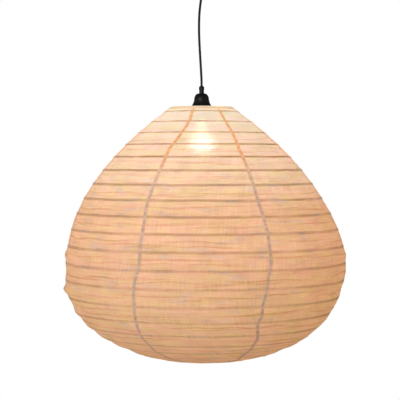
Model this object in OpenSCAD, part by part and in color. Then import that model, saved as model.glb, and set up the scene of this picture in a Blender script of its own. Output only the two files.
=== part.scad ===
// Drop-shaped lantern pendant: a sewn skin on loose wire hoops, hung on its cord from a ceiling canopy.
// Millimetres. The origin is the middle of the ceiling bracket's top face, and +Z is up.

/* [Shade outline] */
// Widest outside diameter of the skin
shade_d = 700; // [580:1:780]
// Height of the skin, from the top rim to the bottom mouth
shade_h = 634; // [560:1:720]
// Depth of the widest place below the top rim
widest_depth = 402; // [370:1:430]
// Diameter of the skin at the top rim
rim_d = 150; // [136:1:180]
// Diameter of the skin at the bottom mouth
mouth_d = 120; // [100:1:180]
// Lean of the skin at the top rim, from the vertical, in degrees
shoulder_lean = 55.4; // [48:0.1:60]
// How far the straight shoulder runs, as a share of the way to the widest place
shoulder_run = 0.45; // [0.3:0.01:0.55]
// Fullness of the side above the widest place
upper_fullness = 0.315; // [0.2:0.005:0.5]
// Fullness of the side below the widest place
lower_fullness = 0.9; // [0.7:0.01:1]
// Flatness of the underside at the mouth
mouth_flatness = 0.095; // [0.05:0.005:0.3]

/* [Skin and hoops] */
// Thickness of the cloth
cloth_t = 0.5; // [0.3:0.05:0.8]
// Number of gores that the skin is sewn from
gore_count = 7; // [5:1:9]
// Turn of the front gore's middle from the front, in degrees
gore_turn = -2; // [-10:0.5:10]
// Angle left open between two gores, in degrees
gore_split = 0.3; // [0.2:0.05:0.6]
// Width of the seam tapes
seam_w = 6; // [4:0.5:10]
// Width of the hems at the rim and the mouth
hem_w = 14; // [8:1:18]
// Number of loose hoops
hoop_count = 21; // [15:1:22]
// Way along the skin from the top rim to the first hoop
first_gap = 22; // [20:1:30]
// Wire diameter of a loose hoop
hoop_wire_d = 2; // [1.6:0.1:2.6]
// Wall of the crimped sleeve that closes a hoop
splice_wall = 0.5; // [0.3:0.1:0.8]
// Length of the crimped sleeve that closes a hoop
splice_len = 16; // [10:1:24]
// Wire diameter of the top and bottom rings
ring_wire_d = 3; // [2.4:0.1:4]

/* [Spider] */
// Number of spider arms
arm_count = 3; // [3:1:4]
// Diameter of the spider arms
arm_d = 3; // [2.4:0.1:4]
// Width of the hub plate outside the bell's lip
hub_rim_w = 3.2; // [2.6:0.1:7]
// Thickness of the hub plate
hub_t = 2; // [1.5:0.1:3]

/* [Lampholder] */
// Space between the thread shell and the holder's skirt
skirt_room = 1; // [0.8:0.1:1.4]
// Wall of the skirt
skirt_wall = 4.4; // [3:0.1:4.6]
// Depth of the skirt below the hub plate
skirt_drop = 30; // [28:1:33]
// Height of the bell cover above the hub plate
bell_h = 36; // [34:1:44]
// How far the bell's waist stands outside the holder's cap
bell_waist_out = 2.45; // [2.2:0.05:4]
// How far the bell's lip stands outside the holder's flange
bell_lip_out = 4.8; // [3:0.1:5.6]
// Wall of the bell cover
bell_wall = 1.2; // [0.8:0.1:1.6]
// Length of the cord grip above the bell cover
grip_h = 18.5; // [14:0.5:24]
// Diameter of the cord grip
grip_d = 13.3; // [12:0.1:16]
// Width of the shade ring outside the skirt
shade_ring_w = 7.5; // [5:0.5:8]
// Height of the shade ring
shade_ring_h = 8; // [6:0.5:12]
// Play all round the bulb's thread in the brass shell
shell_play = 0.5; // [0.4:0.05:0.7]
// Wall of the thread shell
shell_wall = 0.5; // [0.4:0.1:0.8]

/* [Bulb] */
// Diameter of the bulb's globe
globe_d = 62; // [50:1:80]
// Length of the bulb from its tip to the end of its globe
bulb_len = 112; // [104:1:130]
// Outside diameter of the bulb's screw cap
bulb_cap_d = 26.2; // [26:0.05:26.4]
// Wall of the bulb's glass
glass_t = 1; // [0.6:0.1:1.5]

/* [Cord] */
// Diameter of the cord
cord_d = 5.8; // [5:0.1:6.4]
// Clearance all round the cord in its bores
cord_gap = 0.2; // [0.15:0.05:0.4]

/* [Ceiling fitting] */
// Drop from the ceiling to the shade's top rim
drop = 345; // [330:1:360]
// Outside diameter of the canopy
canopy_d = 100; // [90:1:130]
// Height of the canopy
canopy_h = 50; // [46:1:50]
// Wall of the canopy
canopy_wall = 1.5; // [1:0.1:2]
// Rounding of the canopy's lower edge
canopy_round = 14; // [6:1:20]
// Width of the ceiling bracket
bracket_w = 20; // [16:1:24]
// Thickness of the ceiling bracket
bracket_t = 2; // [1.5:0.1:3]
// Spacing of the two ceiling holes
ceiling_hole_spacing = 64; // [56:1:68]
// Diameter of the two ceiling holes
ceiling_hole_d = 5; // [4:0.1:6]
// Outside diameter of the cord gland
gland_d = 17; // [16:0.5:20]
// Height of the gland below the canopy
gland_h = 14; // [13:0.5:14]

/* [Hidden] */
function two_digits(i) = str(i < 10 ? "0" : "", i);
function hoop_name(i) = str("hoop_", two_digits(i));
function gore_name(i) = str("gore_", i);
$fn = 64;

// Clearances that several pieces share
free_gap = 0.3;    // between pieces that move past each other
seat_gap = 0.05;   // between pieces that rest on each other
thread_gap = 0.3;  // all round a thread, which is drawn as a plain bore and a plain shank
skirt_seat = 0.2;  // between the skirt and the hub plate's hole

// --- Outline of the skin -------------------------------------------------------------------
// Two Bezier curves: rim to widest place, and widest place to mouth. Points are [radius, height],
// with the height counted from the top rim, so it is negative.
rim_point = [rim_d / 2, 0];
widest_point = [shade_d / 2, -widest_depth];
mouth_point = [mouth_d / 2, -shade_h];
shoulder = [sin(shoulder_lean), -cos(shoulder_lean)] * shoulder_run * norm(widest_point - rim_point);
upper_curve = [rim_point, rim_point + shoulder,
    widest_point + [0, upper_fullness * widest_depth], widest_point];
lower_curve = [widest_point, widest_point - [0, lower_fullness * (shade_h - widest_depth)],
    mouth_point + [mouth_flatness * (shade_d - mouth_d) / 2, 0], mouth_point];
curve_steps = 80;

function bezier(p, t) =
    let (u = 1 - t) u * u * u * p[0] + 3 * u * u * t * p[1] + 3 * u * t * t * p[2] + t * t * t * p[3];
outline = concat([for (i = [0:curve_steps]) bezier(upper_curve, i / curve_steps)],
    [for (i = [1:curve_steps]) bezier(lower_curve, i / curve_steps)]);
step_lengths = [for (i = [1:len(outline) - 1]) norm(outline[i] - outline[i - 1])];
function step_after(i) = i < len(step_lengths) ? step_lengths[i] : 0;
arc = [for (i = 0, s = 0; i < len(outline); s = s + step_after(i), i = i + 1) s];
radius_table = [for (i = [0:len(arc) - 1]) [arc[i], outline[i][0]]];
height_table = [for (i = [0:len(arc) - 1]) [arc[i], outline[i][1]]];
skin_len = arc[len(arc) - 1];

// A place on the skin's outside, s along it from the rim, and one that lies depth inside it
function on_skin(s) = [lookup(s, radius_table), lookup(s, height_table)];
function unit(v) = v / norm(v);
function inwards(s) = let (t = unit(on_skin(s + 1) - on_skin(s - 1))) [t[1], -t[0]];
function in_skin(s, depth) = on_skin(s) + depth * inwards(s);

hoop_pitch = (skin_len - first_gap) / hoop_count;
function hoop_way(i) = first_gap + (i - 1) * hoop_pitch;
splice_d = hoop_wire_d + 2 * splice_wall;
hoop_depth = cloth_t + free_gap + splice_d / 2;
ring_depth = cloth_t + free_gap + ring_wire_d / 2;
stations = concat([0], [for (k = [0:2 * hoop_count]) first_gap + k * hoop_pitch / 2]);

// The outline of a layer of the skin, from depth a to depth b, at the places in ways
function layer(ways, a, b) = concat([for (s = ways) in_skin(s, a)],
    [for (k = [len(ways) - 1:-1:0]) in_skin(ways[k], b)]);
// The stations between two places on the skin, with both places
function between(from, to) = concat([from], [for (s = stations) if (s > from + 1 && s < to - 1) s], [to]);

// --- Heights -------------------------------------------------------------------------------
rim_z = -drop;
top_ring_way = ring_wire_d;
top_ring_at = in_skin(top_ring_way, ring_depth);
bottom_ring_at = in_skin(skin_len, ring_depth);
hub_z = rim_z + top_ring_at[1];
hub_top = hub_z + hub_t / 2;
hub_bottom = hub_z - hub_t / 2;
bell_top = hub_top + bell_h;
grip_top = bell_top + grip_h;
shell_d = bulb_cap_d + 2 * shell_play;
skirt_in_d = shell_d + 2 * shell_wall + 2 * skirt_room;
skirt_d = skirt_in_d + 2 * skirt_wall;
flange_t = 2.5;
flange_w = 3;
flange_d = skirt_d + 2 * flange_w;
shade_ring_d = skirt_d + 2 * shade_ring_w;
bell_lip_d = flange_d + 2 * bell_lip_out;
hub_d = bell_lip_d + 2 * hub_rim_w;
skirt_bottom = hub_bottom - skirt_drop;

block_t = 11;
block_bottom = hub_z - 1;
block_top = block_bottom + block_t;
contact_t = 0.6;
tip_top = block_bottom - 2.2;
tip_h = 1;
tip_d = 9.4;
insulator_h = 3;
cap_top = tip_top - tip_h - insulator_h;
cap_len = 24;
cap_bottom = cap_top - cap_len;
shell_top = tip_top - 1;
shell_bottom = skirt_bottom + 3;
globe_z = tip_top - bulb_len + globe_d / 2;

holder_cap_seat = 1.2;      // how far its wall's outside stands on the top of the skirt
holder_cap_d = skirt_in_d + 2 * holder_cap_seat;
holder_cap_wall = 1.6;
bell_waist_d = holder_cap_d + 2 * bell_waist_out;
holder_cap_top = bell_top - bell_wall - 4;
block_d = holder_cap_d - 2 * holder_cap_wall - 2 * seat_gap;

grip_bore_d = cord_d + 2 * cord_gap;
stub_wall = 1.8;
stub_d = grip_bore_d + 2 * stub_wall;
stub_bottom = holder_cap_top - 5;

canopy_floor = -canopy_h + canopy_wall;
gland_bottom = -canopy_h - gland_h;
gland_flange_d = gland_d + 4;
gland_flange_t = 3;
gland_stub_top = canopy_floor + 11;
pivot_z = gland_bottom + 4;
mouth_top = pivot_z + 2;
mouth_lip = 1.6;
tail_end = pivot_z + 0.9;
tail_top = -34;

// --- Cord ----------------------------------------------------------------------------------
// Route of the hanging cord, from the gland's mouth to inside the lampholder, with a slight bow
cord_route = [
    [0, 0, -61.8], [-0.5, 0, -70], [-1.8, 0, -80], [-3.8, 0, -95], [-5.6, 0, -115],
    [-6.4, 0, -140], [-6.2, 0, -165], [-5.2, 0, -190], [-3.8, 0, -215], [-2.3, 0, -240],
    [-1, 0, -262], [-0.2, 0, -280], [0, 0, -292], [0, 0, -304], [0, 0, -316]];
cord_low = cord_route[len(cord_route) - 1][2];
cord_sides = 10;
rings_per_span = 2;
core_d = 2;
core_sides = 8;
core_apart = 1.4;

function spline(a, b, c, d, t) = 0.5 * (2 * b + (c - a) * t + (2 * a - 5 * b + 4 * c - d) * t * t
    + (3 * b - a - 3 * c + d) * t * t * t);
function smooth(points, per) = let (n = len(points)) concat([for (i = [0:n - 2], k = [0:per - 1])
    spline(points[max(i - 1, 0)], points[i], points[i + 1], points[min(i + 2, n - 1)], k / per)],
    [points[n - 1]]);

// A round tube along points, none of whose spans runs along the direction across
module tube(points, d, sides, across = [0, 1, 0]) {
    last = len(points) - 1;
    ways = [for (i = [0:last]) unit(points[min(i + 1, last)] - points[max(i - 1, 0)])];
    rings = [for (i = [0:last], k = [0:sides - 1])
        let (side = unit(cross(ways[i], across)), turn = 360 * k / sides)
        points[i] + d / 2 * (cos(turn) * side + sin(turn) * cross(side, ways[i]))];
    walls = [for (i = [0:last - 1], k = [0:sides - 1]) let (m = (k + 1) % sides)
        [i * sides + k, (i + 1) * sides + k, (i + 1) * sides + m, i * sides + m]];
    ends = [[for (k = [0:sides - 1]) k], [for (k = [sides - 1:-1:0]) last * sides + k]];
    polyhedron(rings, concat(walls, ends), convexity = 4);
}

module spin(points, angle = 360) rotate_extrude(angle = angle, $fn = 96) polygon(points);
module at_rim() translate([0, 0, rim_z]) children();
module pipe(d, bore, from, to) spin([[bore / 2, from], [d / 2, from], [d / 2, to], [bore / 2, to]]);
module rod(d, from, to) translate([0, 0, from]) cylinder(d = d, h = to - from);
module around(count, start = 0) for (i = [0:count - 1]) rotate([0, 0, start + 360 * i / count]) children();
module wire_hoop(at, d) rotate_extrude($fn = 96) translate(at) circle(d = d, $fn = 24);

// --- Ceiling fitting -----------------------------------------------------------------------
tab_w = 10;
tab_h = 16;
tab_t = 2;
tab_out = canopy_d / 2 - canopy_wall - 2.5;
side_screw_z = -10;
side_screw_d = 4;

module ceiling_bracket() color("silver") difference() {
    union() {
        translate([-tab_out, -bracket_w / 2, -bracket_t]) cube([2 * tab_out, bracket_w, bracket_t]);
        for (side = [-1, 1]) translate([side * (tab_out - tab_t / 2), 0, -tab_h / 2])
            cube([tab_t, tab_w, tab_h], center = true);
    }
    for (side = [-1, 1]) {
        translate([side * ceiling_hole_spacing / 2, 0, -bracket_t - 1])
            cylinder(d = ceiling_hole_d, h = bracket_t + 2);
        translate([side * tab_out, 0, side_screw_z]) rotate([0, 90, 0])
            cylinder(d = side_screw_d, h = 4 * tab_t, center = true);
    }
}

canopy_lip = 0.2;
module canopy() color("black") difference() {
    spin(concat(
        [[gland_stub_hole / 2, -canopy_h]],
        [for (a = [-90:15:0]) [canopy_d / 2 - canopy_round, -canopy_h + canopy_round]
            + canopy_round * [cos(a), sin(a)]],
        [[canopy_d / 2, -canopy_lip], [canopy_d / 2 - canopy_wall, -canopy_lip]],
        [for (a = [0:-15:-90]) [canopy_d / 2 - canopy_round, -canopy_h + canopy_round]
            + (canopy_round - canopy_wall) * [cos(a), sin(a)]],
        [[gland_stub_hole / 2, canopy_floor]]));
    for (side = [0, 180]) rotate([0, 0, side]) translate([canopy_d / 2 - 4, 0, side_screw_z])
        rotate([0, 90, 0]) cylinder(d = side_screw_d + 2 * free_gap, h = 8);
}
gland_stub_hole = stub_d + 2 * free_gap;

side_head_d = 7.6;
side_head_h = 2.2;
side_screw_in = 1;
side_screw_len = canopy_d / 2 + seat_gap - tab_out + tab_t + side_screw_in;
module canopy_screws() color("dimgray") for (side = [0, 180]) rotate([0, 0, side])
    translate([tab_out - tab_t - side_screw_in, 0, side_screw_z]) rotate([0, 90, 0]) difference() {
        union() {
            cylinder(d = side_screw_d - 2 * seat_gap, h = side_screw_len);
            translate([0, 0, side_screw_len]) cylinder(d = side_head_d, h = side_head_h);
        }
        translate([-side_head_d, -slot_w / 2, side_screw_len + side_head_h - slot_deep])
            cube([2 * side_head_d, slot_w, 2 * slot_deep]);
    }

module gland_body() color("black") spin([
    [grip_bore_d / 2, mouth_top], [gland_d / 2 - mouth_lip, gland_bottom], [gland_d / 2, gland_bottom],
    [gland_d / 2, -canopy_h - gland_flange_t], [gland_flange_d / 2, -canopy_h - gland_flange_t],
    [gland_flange_d / 2, -canopy_h - seat_gap], [stub_d / 2, -canopy_h - seat_gap],
    [stub_d / 2, gland_stub_top], [grip_bore_d / 2, gland_stub_top]]);

nut_t = 4;
nut_w = 3.6;
nut_across = stub_d + 2 * nut_w;
module gland_nut() color("silver") difference() {
    translate([0, 0, canopy_floor + seat_gap]) cylinder(d = nut_across, h = nut_t, $fn = 6);
    rod(stub_d + 2 * thread_gap, canopy_floor - 1, canopy_floor + nut_t + 1);
}

block_size = [34, 16, 12];
ways_apart = 10;
terminal_top = -bracket_t - seat_gap;
terminal_bottom = terminal_top - block_size[2];
terminal_bore_d = 4;
terminal_screw_d = 3;
terminal_screw_y = 4.5;
terminal_screw_out = 0.5;
slot_w = 0.6;
slot_deep = 0.8;
module terminal_block() color("white") difference() {
    translate([0, 0, (terminal_top + terminal_bottom) / 2]) cube(block_size, center = true);
    for (x = [-ways_apart, 0, ways_apart]) {
        translate([x, 0, terminal_bore_z]) rotate([90, 0, 0])
            cylinder(d = terminal_bore_d, h = 2 * block_size[1], center = true);
        for (side = [-1, 1]) translate([x, side * terminal_screw_y, terminal_bottom - 1])
            cylinder(d = terminal_screw_d + 2 * seat_gap, h = terminal_bore_z - terminal_bottom + 1);
    }
}

module terminal_screws() color("goldenrod") for (x = [-ways_apart, 0, ways_apart], side = [-1, 1])
    translate([x, side * terminal_screw_y, terminal_bottom - terminal_screw_out]) difference() {
        cylinder(d = terminal_screw_d,
            h = terminal_screw_out + terminal_bore_z - terminal_bore_d / 2 - terminal_bottom - seat_gap);
        translate([-terminal_screw_d, -slot_w / 2, -1]) cube([2 * terminal_screw_d, slot_w, 1 + slot_deep]);
    }

core_rise = 1.5;
core_side_y = -block_size[1] / 2;
terminal_bore_z = terminal_bottom + 5;
// Two cores that leave the cord's end in the canopy and bend into the terminal block's side
module canopy_wires() for (side = [-1, 1]) color(side < 0 ? "royalblue" : "saddlebrown") tube(smooth([
    [side * core_apart, 0, tail_top + free_gap],
    [side * core_apart, 0, tail_top + core_rise],
    [side * 2.5, -1, tail_top + 4],
    [side * 6, -6, tail_top + 8],
    [side * ways_apart, core_side_y - 4.5, terminal_bore_z - 7],
    [side * ways_apart, core_side_y - 4, terminal_bore_z - 2],
    [side * ways_apart, core_side_y, terminal_bore_z],
    [side * ways_apart, core_side_y + 5, terminal_bore_z]], 4), core_d, core_sides, [1, 0, 0]);

module cord_tail() color("black") rod(cord_d, tail_end, tail_top);
module cord_bend() color("black") translate([0, 0, pivot_z]) sphere(d = 1.6, $fn = 32);
module cord() color("black") tube(smooth(cord_route, rings_per_span), cord_d, cord_sides);

// --- Lampholder ----------------------------------------------------------------------------
grip_foot_d = grip_d - 1.2;
grip_foot_h = 8;
grip_collar_h = 11;
grip_shoulder = [[0, 4], [1, 1.6], [2.6, 0]];   // in from the side, and down from the top
grip_screw_d = 3;
grip_screw_len = 3.6;
grip_screw_back = 0.2;
grip_screw_z = grip_top - 8;
module cord_grip() color("black") difference() {
    spin(concat(
        [[grip_bore_d / 2, stub_bottom], [stub_d / 2, stub_bottom], [stub_d / 2, bell_top + seat_gap],
        [grip_foot_d / 2, bell_top + seat_gap], [grip_foot_d / 2, bell_top + grip_foot_h],
        [grip_d / 2, bell_top + grip_collar_h]],
        [for (p = grip_shoulder) [grip_d / 2 - p[0], grip_top - p[1]]],
        [[grip_bore_d / 2, grip_top]]));
    translate([0, 0, grip_screw_z]) rotate([90, 0, 0])
        cylinder(d = grip_screw_d + 2 * seat_gap, h = grip_d);
}

module grip_screw() color("dimgray") translate([0, -grip_bore_d / 2 - grip_screw_back, grip_screw_z])
    rotate([90, 0, 0]) difference() {
        cylinder(d = grip_screw_d, h = grip_screw_len);
        translate([-slot_w / 2, -grip_screw_d, grip_screw_len - slot_w]) cube([slot_w, 2 * grip_screw_d, 2]);
    }

// Outside of the bell, from its crown down to its lip, as [radius, height above the hub plate]
bell_hole = [stub_d / 2 + thread_gap, bell_h];
bell_crown = [grip_d / 2, bell_h];
bell_waist = [bell_waist_d / 2, bell_h * 0.55];
bell_lip = [bell_lip_d / 2, free_gap];
bell_curve = concat([bell_hole],
    [for (i = [0:8]) bezier([bell_crown, bell_crown + [8, 0], bell_waist + [-0.4, 9], bell_waist], i / 8)],
    [for (i = [1:8]) bezier([bell_waist, bell_waist - [-0.6, 8], bell_lip + [-3, 6], bell_lip], i / 8)]);
function side_of(p, i) = let (n = len(p), t = unit(p[min(i + 1, n - 1)] - p[max(i - 1, 0)])) [t[1], -t[0]];
function thicker(p, wall) = [for (i = [0:len(p) - 1]) p[i] + wall * side_of(p, i)];
module bell_cover() color([0.05, 0.05, 0.05]) translate([0, 0, hub_top]) {
    inner = thicker(bell_curve, bell_wall);
    spin(concat(bell_curve,
        [for (i = [len(inner) - 1:-1:0]) [inner[i][0], max(inner[i][1], free_gap)]]));
}

cap_skirt_z = hub_top + flange_t + seat_gap;
holder_cap_in = holder_cap_d / 2 - holder_cap_wall;
cap_hole = stub_d / 2 + thread_gap;
// Outside and inside of the cap's dome, as [radius, drop below its top]
cap_outside = [[cap_hole, 0], [stub_d / 2 + 4, 0], [holder_cap_d / 2 - 2, 5], [holder_cap_d / 2, 10]];
cap_inside = [[holder_cap_in, 10.5], [holder_cap_in - 2, 6.2], [stub_d / 2 + 3.6, holder_cap_wall],
    [cap_hole, holder_cap_wall]];
module holder_cap() color("black") spin(concat(
    [for (p = cap_outside) [p[0], holder_cap_top - p[1]]],
    [[holder_cap_d / 2, cap_skirt_z], [holder_cap_in, cap_skirt_z]],
    [for (p = cap_inside) [p[0], holder_cap_top - p[1]]]));

core_hole = 5;
core_hole_deep = 5;
block_screw_hole_d = 3.4;
module contact_block() color("ivory") difference() {
    rod(min(block_d, skirt_in_d - 2 * seat_gap), block_bottom, block_top);
    for (side = [-1, 1]) translate([side * core_hole, core_hole, block_top - core_hole_deep])
        cylinder(d = core_d + 2 * free_gap, h = core_hole_deep + 1);
    for (side = [-1, 1]) translate([side * core_hole, -core_hole, block_top - core_hole_deep])
        cylinder(d = block_screw_hole_d, h = core_hole_deep + 1);
}

contact_w = 6;
contact_foot = [-9, 6];     // where it starts, and its length
contact_tongue = [-4, 8];
contact_tilt = 12;
module centre_contact() color("goldenrod")
    translate([-contact_w / 2, 0, block_bottom - seat_gap - contact_t]) union() {
        translate([0, contact_foot[0], 0]) cube([contact_w, contact_foot[1], contact_t]);
        translate([0, contact_tongue[0], 0]) rotate([-contact_tilt, 0, 0])
            cube([contact_w, contact_tongue[1], contact_t]);
    }

side_contact_gap = 0.2;
side_contact_len = 8;
module side_contact() color("goldenrod") intersection() {
    pipe(skirt_in_d - 2 * side_contact_gap, shell_d + 2 * shell_wall + 2 * side_contact_gap,
        shell_top - side_contact_len, block_bottom - seat_gap);
    translate([0, -contact_w / 2, shell_top - side_contact_len - 2])
        cube([skirt_d, contact_w, 2.5 * side_contact_len]);
}

module thread_shell() color("goldenrod") pipe(shell_d + 2 * shell_wall, shell_d, shell_bottom, shell_top);

module holder_skirt() color("black") spin([
    [skirt_in_d / 2, skirt_bottom], [skirt_d / 2, skirt_bottom], [skirt_d / 2, hub_top + seat_gap],
    [flange_d / 2, hub_top + seat_gap], [flange_d / 2, hub_top + flange_t],
    [skirt_in_d / 2, hub_top + flange_t]]);

notch_count = 12;
notch_d = 4;
notch_out = 0.9;
shade_ring_top = hub_bottom - seat_gap;
module shade_ring() color("black") difference() {
    pipe(shade_ring_d, skirt_d + 2 * thread_gap, shade_ring_top - shade_ring_h, shade_ring_top);
    around(notch_count) translate([shade_ring_d / 2 + notch_out, 0, shade_ring_top - shade_ring_h - 1])
        cylinder(d = notch_d, h = shade_ring_h + 2);
}

// Two cores that leave the cord's end in the grip and go down into the contact block
module holder_wires() for (side = [-1, 1]) color(side < 0 ? "royalblue" : "saddlebrown") tube(smooth([
    [side * core_apart, 0, cord_low - seat_gap],
    [side * core_apart, 0, stub_bottom],
    [side * core_hole * 0.6, core_hole * 0.5, stub_bottom - 6],
    [side * core_hole, core_hole, block_top + 4],
    [side * core_hole, core_hole, block_top - core_hole_deep + 0.4]], 4), core_d, core_sides);

// --- Bulb ----------------------------------------------------------------------------------
thread_pitch = 3.629;
thread_deep = 0.9;
cap_wall = 0.4;
cap_bore_d = bulb_cap_d - 2 * (thread_deep + cap_wall);
neck_d = cap_bore_d - 2 * seat_gap;
neck_in = 5;
neck_top = cap_bottom + neck_in;
globe_join = 52;
cone_ease = 13;
function on_globe(a) = [globe_d / 2 * sin(a), globe_z + globe_d / 2 * cos(a)];
// Outside of the glass: a neck, a cone that leaves it smoothly, and the globe
cone_top = [neck_d / 2, cap_bottom - 1];
cone_low = on_globe(globe_join);
cone_curve = [cone_top, cone_top - [0, cone_ease],
    cone_low + cone_ease * [-cos(globe_join), sin(globe_join)], cone_low];
glass_curve = concat(
    [[neck_d / 2, neck_top], cone_top],
    [for (i = [1:10]) bezier(cone_curve, i / 10)],
    [for (a = [globe_join + 8:8:172]) on_globe(a)]);
module bulb_glass() color([1, 0.97, 0.9, 0.7]) spin(concat(glass_curve, [[0, globe_z - globe_d / 2]],
    [[0, globe_z - globe_d / 2 + glass_t]],
    [for (i = [len(glass_curve) - 1:-1:0]) glass_curve[i] + glass_t * side_of(glass_curve, i)]));

cap_plain_h = 5;
cap_lip = [3, 2, 0];    // heights at which the plain end swells to its full width
cap_turns = floor((cap_len - cap_plain_h) / thread_pitch);
cap_curve = concat([[bulb_cap_d / 2 - thread_deep, cap_top]],
    [for (i = [0:cap_turns - 1], k = [0:3]) [bulb_cap_d / 2 - thread_deep / 2 * (1 + cos(90 * k)),
        cap_top - 1 - (i + k / 4) * thread_pitch]],
    [for (i = [0:2]) [bulb_cap_d / 2 - (i == 0 ? thread_deep / 2 : 0), cap_bottom + cap_lip[i]]]);
module bulb_cap() color("silver")
    spin(concat(cap_curve, [[cap_bore_d / 2, cap_bottom], [cap_bore_d / 2, cap_top]]));

module bulb_insulator() color([0.1, 0.1, 0.12]) spin([
    [0, cap_top + seat_gap], [bulb_cap_d / 2 - thread_deep, cap_top + seat_gap],
    [tip_d / 2 + 1.2, tip_top - tip_h - seat_gap], [0, tip_top - tip_h - seat_gap]]);

module bulb_tip() color("silver") spin([[0, tip_top - tip_h], [tip_d / 2, tip_top - tip_h],
    [tip_d / 2 - 1, tip_top - 0.3], [0, tip_top]]);

stem_d = 8;
pin_d = 2;
pin_out = 3;
stem_in = 4;
filament_d = 2.4;
filament_len = 34;
filament_out = 8;
tie_d = 1;
tie_in = 0.6;
module bulb_filament() color("gold") {
    rod(stem_d, globe_z + filament_len / 2 - stem_in, neck_top - 1);
    rod(pin_d, globe_z - filament_len / 2 - pin_out, globe_z + filament_len / 2 - stem_in);
    around(4) translate([filament_out, 0, globe_z])
        cylinder(d = filament_d, h = filament_len, center = true);
    for (end = [-1, 1], turn = [0, 90]) translate([0, 0, globe_z + end * (filament_len / 2 - tie_in)])
        rotate([0, 90, turn])
            cylinder(d = tie_d, h = 2 * filament_out + tie_d, center = true, $fn = 24);
}

// --- Spider and rings ----------------------------------------------------------------------
hub_hole_d = skirt_d + 2 * skirt_seat;
arm_turn = 30;
module spider() color("gray") translate([0, 0, hub_z]) difference() {
    union() {
        cylinder(d = hub_d, h = hub_t, center = true);
        around(arm_count, arm_turn) translate([hub_d / 2 - 2, 0, 0]) rotate([0, 90, 0])
            cylinder(d = arm_d, h = top_ring_at[0] - hub_d / 2 + 2);
    }
    cylinder(d = hub_hole_d, h = 4 * hub_t, center = true);
}

module top_ring() color("gray") at_rim() wire_hoop(top_ring_at, ring_wire_d);
module bottom_ring() color("gray") at_rim() wire_hoop(bottom_ring_at, ring_wire_d);

// The sleeves are staggered round the shade, so that they don't stack up when it is folded
splice_step = 137;
module hoop(i) color("gray") at_rim() {
    at = in_skin(hoop_way(i), hoop_depth);
    union() {
        wire_hoop(at, hoop_wire_d);
        rotate([0, 0, i * splice_step]) rotate_extrude(angle = splice_len / at[0] * 180 / PI, $fn = 96)
            translate(at) circle(d = splice_d, $fn = 24);
    }
}

// --- Skin ----------------------------------------------------------------------------------
tape_lift = 0.15;
tape_t = 0.4;
front = -90;
gore_angle = 360 / gore_count;

module gore(i) color([0.93, 0.85, 0.72]) at_rim()
    rotate([0, 0, front + gore_turn + (i - 1.5) * gore_angle + gore_split / 2])
        spin(layer(stations, 0, cloth_t), gore_angle - gore_split);

module seam_tapes() color([0.8, 0.68, 0.52]) at_rim()
    around(gore_count, front + gore_turn + gore_angle / 2) rotate([90, 0, 0])
        linear_extrude(seam_w, center = true)
            polygon(layer(between(hem_w + 1, skin_len - hem_w - 1), -tape_lift - tape_t, -tape_lift));

module hem_bands() color([0.85, 0.75, 0.6]) at_rim() {
    spin(layer(between(0, hem_w), -tape_lift - tape_t, -tape_lift));
    spin(layer(between(skin_len - hem_w, skin_len), -tape_lift - tape_t, -tape_lift));
}

ceiling_bracket();
canopy();
canopy_screws();
gland_body();
gland_nut();
terminal_block();
terminal_screws();
canopy_wires();
cord_tail();
cord_bend();
cord();
cord_grip();
grip_screw();
bell_cover();
holder_cap();
contact_block();
centre_contact();
side_contact();
thread_shell();
holder_skirt();
shade_ring();
holder_wires();
bulb_glass();
bulb_cap();
bulb_insulator();
bulb_tip();
bulb_filament();
spider();
top_ring();
bottom_ring();
for (i = [1:hoop_count]) hoop(i);
for (i = [1:gore_count]) gore(i);
seam_tapes();
hem_bands();
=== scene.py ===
"""Looks of a cloth pendant lantern: a sewn skin on loose wire hoops, hung by its cord from a canopy."""

import logging
import math
from dataclasses import dataclass, field
from enum import Enum
from typing import Iterable, Sequence

import bmesh
import bpy
import numpy as np
from mathutils import Matrix, Vector


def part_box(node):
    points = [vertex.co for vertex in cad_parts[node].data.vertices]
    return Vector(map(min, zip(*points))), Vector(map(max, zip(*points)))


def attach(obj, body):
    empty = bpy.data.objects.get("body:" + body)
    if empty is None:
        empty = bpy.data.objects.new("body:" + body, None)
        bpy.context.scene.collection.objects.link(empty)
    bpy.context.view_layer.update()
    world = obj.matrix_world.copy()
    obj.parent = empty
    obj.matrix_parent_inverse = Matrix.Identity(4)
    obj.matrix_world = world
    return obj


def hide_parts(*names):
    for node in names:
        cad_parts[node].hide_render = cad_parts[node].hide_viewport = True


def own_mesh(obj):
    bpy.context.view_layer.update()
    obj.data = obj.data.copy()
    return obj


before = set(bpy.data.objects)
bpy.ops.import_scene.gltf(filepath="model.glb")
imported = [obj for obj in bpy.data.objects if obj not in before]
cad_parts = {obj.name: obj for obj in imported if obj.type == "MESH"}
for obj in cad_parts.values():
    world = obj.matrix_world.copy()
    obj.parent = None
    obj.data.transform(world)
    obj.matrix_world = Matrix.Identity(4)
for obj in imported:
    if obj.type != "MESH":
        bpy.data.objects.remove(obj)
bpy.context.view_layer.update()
MM = 0.001
LOG = logging.getLogger("lantern")

Colour = tuple[float, float, float]
Socket = bpy.types.NodeSocket


class Source(Enum):
    """Where a pattern takes its place from."""

    OBJECT = "Object"
    UV = "UV"


class Body(Enum):
    """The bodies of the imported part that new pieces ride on."""

    CEILING = "ceiling"
    PENDANT = "pendant"
    BOTTOM_RING = "bottom_ring"


# --- Materials -----------------------------------------------------------------------------


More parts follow.
